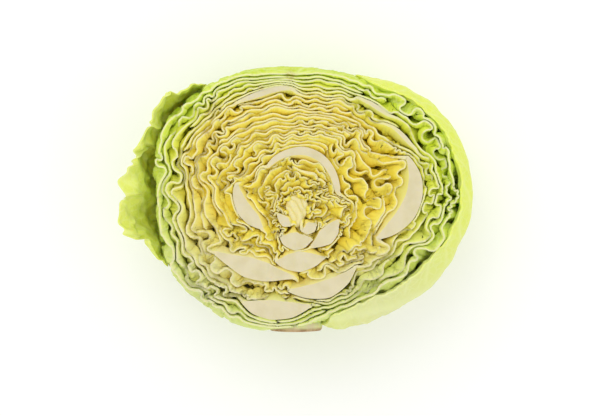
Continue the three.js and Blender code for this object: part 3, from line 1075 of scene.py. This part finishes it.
def greenness(around, level):
    """How green the blades are: most near the skin, and deeper in at the right of the head."""
    reach = 0.3 + 0.16 * bell(around, 0, 50) - 0.07 * bell(around, 95, 45)
    return 1 - smooth(level, 0.02, reach)


def paleness(around, level):
    """How whitish the blades are: most at both sides of the stem."""
    low = 0.9 * bell(around, 222, 42) + 0.8 * bell(around, -48, 32)
    return low * (1 - smooth(level, 0.25, 0.6))


# The bud's middle: its rows from the middle of its top to its point, those of the top, and its columns.
BUD_ROWS, BUD_TOP_ROWS, BUD_COLUMNS = 40, 28, 97
BUD_TOP = 0.72  # share of the way where its side begins
BUD_X, BUD_Y = 0.6, -1.8  # its middle, from the heart
BUD_HALF_WIDTH, BUD_LENGTH_BEYOND, BUD_LENGTH_NEAR_STEM = 6.4, 7.0, 10.5


def bud_faces():
    """The bud's closed middle: a smooth egg, point down, whose top shows its last folded leaves."""
    share = np.linspace(0, 1, BUD_ROWS)[:, None]
    around = np.linspace(0, 360, BUD_COLUMNS)[None]
    angle = np.radians(around)
    reach = np.minimum(share / BUD_TOP, 1)
    under = np.clip((share - BUD_TOP) / (1 - BUD_TOP), 0, 1)
    near_stem = BUD_LENGTH_NEAR_STEM * (1 + 0.12 * bell(around, 270, 25))
    length = np.where(np.sin(angle) > 0, BUD_LENGTH_BEYOND, near_stem)
    waist = 1 - 0.25 * bell(around, 235, 30) - 0.25 * bell(around, 305, 30)
    x = BUD_X + BUD_HALF_WIDTH * np.cos(angle) * waist
    y = BUD_Y + length * np.sin(angle)
    x, y = mix(BUD_X, x, reach) * (1 - 0.25 * under), mix(BUD_Y, y, reach) * (1 - 0.25 * under)
    fold = np.abs(np.sin(0.55 * x + 0.35 * y + 2.2 * noise(BUD_FOLDS, x / 7, y / 7)))
    z = -0.15 - 1.3 * reach**4 - 0.9 * (1 - fold) ** 2
    z = z - 0.35 * (1 + noise(BUD_GRAIN, x / 2.2, y / 2.2))
    z = z - 9 * under
    shrink = 1 - smooth(under, 0.8, 1.0)
    x, y = mix(BUD_X, x, shrink), mix(BUD_Y, y, shrink)
    return np.stack([x, y, z], 2) * MM + heart_place(), fold


# Bruises on the cut: middle from the heart, and radius, in millimetres.
BRUISES = [(-3, 73, 2.6), (-50, 53, 2.4), (-47, 58, 1.6), (-51, 41, 1.6), (28, -70, 2.0), (-20, 66, 1.4)]


def bruising(points):
    """How browned the points of the cut are."""
    return np.clip(sum(np.exp(-((points - (x, y)) ** 2).sum(1) / r**2) for x, y, r in BRUISES), 0, 1)


def make_sheet(lines, slices, rooms, k):
    """One sheet of a leaf, with the values that its material reads."""
    outer, inner, veins = shell_faces(lines, slices, rooms, k)
    rows = np.concatenate([outer[::-1], inner])
    piece, row, column = folded_grid(SHEETS[k][0] + "_folded", rows)
    mine = lines["leaf"] == k
    drop = np.concatenate([(DROPS if k else SKIN_DROPS)[::-1], DROPS])[row]
    level, around = lines["level"][mine][column], lines["around"][mine][column]
    wall = np.where(drop == 0, 1, 0.4 * np.exp(-drop / 5))
    veins = np.concatenate([veins[::-1], np.zeros(inner.shape[:2])])
    add_values(piece.data, "green", greenness(around, level))
    add_values(piece.data, "pale", paleness(around, level))
    add_values(piece.data, "cut", (drop == 0).astype(float))
    add_values(piece.data, "rib", lines["rib"][mine][column] * wall)
    # painted shade: the blades darken with their depth under the cut
    add_values(piece.data, "depth_shade", 1 - np.exp(-depth_of(np.clip(level, 0, 1), drop) / 1.3))
    add_values(piece.data, "brown", bruising(slices[0][mine])[column] * np.exp(-drop / 3))
    add_values(piece.data, "vein", veins[row, column])
    close_seams()
    return piece


def make_bud_core():
    """The bud's closed middle, with the values that its material reads."""
    rows, fold = bud_faces()
    core, row, column = folded_grid("bud_core", rows)
    for name, value in (("green", 0), ("pale", 0), ("rib", 0.35)):
        add_values(core.data, name, np.full(len(row), float(value)))
    add_values(core.data, "cut", np.where(row < BUD_TOP_ROWS, 0.55 + 0.4 * fold[row, column], 0.0))
    # painted shade: darker down the bud's sides under its top
    add_values(core.data, "depth_shade", smooth(row.astype(float), 20, 32))
    close_seams()
    return core


def joined(context, sheets):
    """A leaf's sheets as one piece."""
    deselect()
    for sheet in sheets:
        sheet.select_set(True)
    context.view_layer.objects.active = sheets[0]
    if len(sheets) > 1:
        bpy.ops.object.join()
    return sheets[0]


class CABBAGE_OT_leaves(bpy.types.Operator):
    """Fold the head's leaves, and its bud, and cut them flat"""

    bl_idname = "cabbage.leaves"
    bl_label = "Leaves of the head"

    def execute(self, context):
        scene = context.scene
        lines, slices = grow_sections(scene.cabbage.spacing)
        rooms = free_rooms(lines, slices)
        materials, pieces = {}, {}
        for k, (node, _, _) in enumerate(SHEETS):
            pieces.setdefault(node, []).append(make_sheet(lines, slices, rooms, k))
        pieces["heart_bud"].append(make_bud_core())
        for node, sheets in pieces.items():
            family = node.split("_")[0]
            kind = "skin" if node == "wrapper_leaf_1" else family
            piece = joined(context, sheets)
            if kind not in materials:
                vein_share = SKIN_VEIN_SHARE if kind == "skin" else 0.0
                materials[kind] = leaf_material(kind + "_leaf", scene.cabbage_colours, vein_share)
            finish_piece(piece, node, materials[kind])
        return {"FINISHED"}


# The loose leaves: angles round the heart, and how far they stand out there.
LOOSE_LEFT = [
    (126, 0),
    (134, 3),
    (139, 8),
    (147, 4.5),
    (154, 2),
    (160, 7),
    (165, 12),
    (172, 15),
    (183, 17),
    (189, 16),
    (193, 9),
    (198, 2),
    (206, 0),
]
LOOSE_RIGHT = [
    (-80, 0),
    (-72, 8),
    (-60, 12),
    (-45, 12),
    (-30, 10),
    (-15, 7),
    (0, 5.5),
    (30, 4),
    (50, 3),
    (66, 0),
]


class CABBAGE_OT_loose_leaves(bpy.types.Operator):
    """Stand a frilled leaf away from the skin on the left, and lay a swollen one on it on the right"""

    bl_idname = "cabbage.loose_leaves"
    bl_label = "Loose leaves"

    def execute(self, context):
        for node, sizes, white, rim_white, vein_share in (
            ("loose_leaf_left", (LOOSE_LEFT, 0, 2.5, 4.0, LOOSE_LEFT_NOISE), 0.0, 0.3, 0.5),
            ("loose_leaf_right", (LOOSE_RIGHT, 1, 0.8, 1.0, LOOSE_RIGHT_NOISE), 0.85, 0.0, 0.4),
        ):
            outer, inner, veins, near, around = loose_faces(*sizes)
            count = len(outer)
            piece, row, column = folded_grid(node + "_frilled", np.concatenate([outer[::-1], inner]))
            slice_of = np.where(row < count, count - 1 - row, row - count)
            pale = white * bell(around, -50, 34)[column] + rim_white * near[slice_of, column]
            add_values(piece.data, "green", np.full(len(row), 0.95))
            add_values(piece.data, "pale", pale)
            add_values(piece.data, "cut", np.zeros(len(row)))
            add_values(piece.data, "rib", np.zeros(len(row)))
            # painted shade: a little at the rim, and more towards the leaf's lower edge
            add_values(piece.data, "depth_shade", 0.05 + 0.35 * smooth(slice_of / count, 0.25, 0.8))
            add_values(piece.data, "vein", veins[slice_of, column])
            close_seams()
            material = leaf_material(node, context.scene.cabbage_colours, vein_share)
            finish_piece(piece, node, material)
        return {"FINISHED"}


STEM_ROWS, STEM_COLUMNS, SAWN_ROWS = 90, 145, 15
# Shares of the stem's length from its sawn end, and of its radius there.
STEM_SHAPE = [0, 0.02, 0.4, 0.9, 1], [0.96, 1, 0.76, 0.27, 0.02]


class CABBAGE_OT_stem(bpy.types.Operator):
    """Turn the stem, with leaf scars on its side and a dried, sawn end"""

    bl_idname = "cabbage.stem"
    bl_label = "Stem"

    def execute(self, context):
        low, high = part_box("stem")
        length, radius = high[1] - low[1], (high[0] - low[0]) / 2
        along = np.linspace(0, 1, STEM_ROWS)
        around = np.linspace(0, 2 * math.pi, STEM_COLUMNS)
        shape = np.interp(along, *STEM_SHAPE)
        a, b = np.meshgrid(along, around, indexing="ij")
        rough = 0.035 * noise(STEM_NOISE, a * 9, np.minimum(b, 2 * math.pi - b) * 2)
        scars = 0.03 * np.sin(a * 42 + 2 * np.cos(b * 2)) * smooth(a, 0.03, 0.1)
        reach = shape[:, None] * (1 + rough + scars) * radius
        middle = (low[0] + high[0]) / 2, (low[2] + high[2]) / 2
        x, y, z = middle[0] + reach * np.cos(b), low[1] + a * length, middle[1] + reach * np.sin(b)
        side = np.stack([x, y, z], 2)
        steps = np.linspace(0, 1, SAWN_ROWS + 1)[:-1, None]
        face = side[:1] * steps[..., None]
        face[..., 0] += middle[0] * (1 - steps)
        face[..., 2] += middle[1] * (1 - steps)
        face[..., 1] = low[1] + 0.0006 * (1 - steps**2) * (1 + noise(SAW_NOISE, steps * 3, b[:1] * 0 + 4))
        rows = np.concatenate([face, side, side[-1:]])
        rows[-1] = [middle[0], high[1], middle[1]]
        piece, row, _ = folded_grid("stem_sawn", rows)
        add_values(piece.data, "dried", 1 - smooth(row.astype(float), SAWN_ROWS + 1, SAWN_ROWS + 4))
        close_seams()
        finish_piece(piece, "stem", stem_material(context.scene.cabbage_colours))
        return {"FINISHED"}


FLOOR_SIZE = 6.0
WORLD_STRENGTH = 0.88
# Area lights: name, place, power in watts, and size.
LIGHTS = [
    ("key_light", (-0.35, 0.55, 1.1), 3.0, 0.9),
    ("fill_light", (0.6, -0.3, 1.0), 1.5, 1.0),
]
AIM_HEIGHT = 0.06  # above the floor, where the lights point
SENSOR = 36.0  # the camera's width, in millimetres
CAMERA_X, CAMERA_Y = 0.0054, -0.0048  # it looks straight down there


def add_light(name, place, energy, size):
    """A soft light that points at the head."""
    bpy.ops.object.light_add(type="AREA", location=place)
    light = bpy.context.object
    light.name = name
    light.data.energy = energy
    light.data.size = size
    x, y, z = -np.array(place) + np.array([0, 0, AIM_HEIGHT])
    light.rotation_euler = (math.atan2(math.hypot(x, y), -z), 0, math.atan2(y, x) - math.pi / 2)


class CABBAGE_OT_stage(bpy.types.Operator):
    """Add the floor, the soft lights and the camera"""

    bl_idname = "cabbage.stage"
    bl_label = "Stage"

    def execute(self, context):
        scene = context.scene
        deselect()
        bpy.ops.mesh.primitive_plane_add(size=FLOOR_SIZE)
        floor = context.object
        floor.name = "floor"
        material, shader = new_material("floor")
        shader.inputs["Base Color"].default_value = (1, 1, 1, 1)
        shader.inputs["Roughness"].default_value = 0.9
        floor.data.materials.append(material)

        world = bpy.data.worlds.new("studio")
        world.use_nodes = True
        background = world.node_tree.nodes["Background"]
        background.inputs["Color"].default_value = (1, 1, 1, 1)
        background.inputs["Strength"].default_value = WORLD_STRENGTH
        scene.world = world
        for light in LIGHTS:
            add_light(*light)

        lens = scene.cabbage.lens
        distance = scene.cabbage.view_width * lens / SENSOR
        height = CAD_BOX[1][2] + distance
        bpy.ops.object.camera_add(location=(CAMERA_X, CAMERA_Y, height), rotation=(0, 0, 0))
        camera = context.object
        camera.name = "camera"
        camera.data.lens = lens
        camera.data.sensor_width = SENSOR
        scene.camera = camera
        scene.view_settings.view_transform = "Standard"
        return {"FINISHED"}


class CABBAGE_PT_panel(bpy.types.Panel):
    """Lists the sizes, the colours and the steps"""

    bl_label = "Half Cabbage Head"
    bl_idname = "CABBAGE_PT_panel"
    bl_space_type = "VIEW_3D"
    bl_region_type = "UI"
    bl_category = "Cabbage"

    def draw(self, context):
        for settings in (context.scene.cabbage, context.scene.cabbage_colours):
            for name in settings.__annotations__:
                self.layout.prop(settings, name)
        for step in STEPS:
            self.layout.operator(step.bl_idname)


STEPS = (CABBAGE_OT_leaves, CABBAGE_OT_loose_leaves, CABBAGE_OT_stem, CABBAGE_OT_stage)
CLASSES = (CabbageColours, CabbageSettings, *STEPS, CABBAGE_PT_panel)


def register():
    for kind in CLASSES:
        bpy.utils.register_class(kind)
    bpy.types.Scene.cabbage = bpy.props.PointerProperty(type=CabbageSettings)
    bpy.types.Scene.cabbage_colours = bpy.props.PointerProperty(type=CabbageColours)


def unregister():
    del bpy.types.Scene.cabbage_colours
    del bpy.types.Scene.cabbage
    for kind in reversed(CLASSES):
        bpy.utils.unregister_class(kind)


def main():
    register()
    bpy.ops.cabbage.leaves()
    bpy.ops.cabbage.loose_leaves()
    bpy.ops.cabbage.stem()
    bpy.ops.cabbage.stage()


if __name__ == "__main__":
    main()
